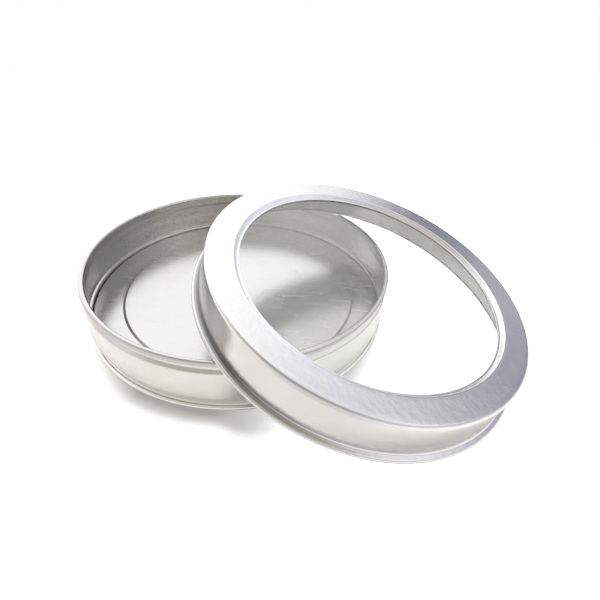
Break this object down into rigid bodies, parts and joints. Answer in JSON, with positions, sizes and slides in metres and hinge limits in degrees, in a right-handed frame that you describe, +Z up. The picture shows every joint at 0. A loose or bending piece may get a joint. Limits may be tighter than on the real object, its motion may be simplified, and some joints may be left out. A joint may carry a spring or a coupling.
{
  "type": "window lid tin",
  "caption": "Round flat tin with a slip-on lid that has a clear window, shown open with the lid leaning across the base's rim.",
  "frame": {"origin": "centre of the base's seam ring, on the ground it stands on", "axes": "+Z up along the base's axis, +X towards the side on which the lid leans, +Y away from the picture's camera"},
  "size_m": [0.1329, 0.1073, 0.0351],
  "materials": {
    "tin_body": "satin tinplate",
    "tin_lid": "satin tinplate",
    "clear_pane": "clear plastic sheet"
  },
  "bodies": {
    "base": {"base_wall": "tin_body", "base_bottom": "tin_body"},
    "lid": {"lid_ring": "tin_lid", "window_pane": "clear_pane", "window_retainer": "tin_lid"}
  },
  "joints": [
    {"name": "lid_lift", "type": "slide", "parent": "base", "child": "lid", "axis": [0, 0, 1], "range_m": [0, 0.04]}
  ]
}
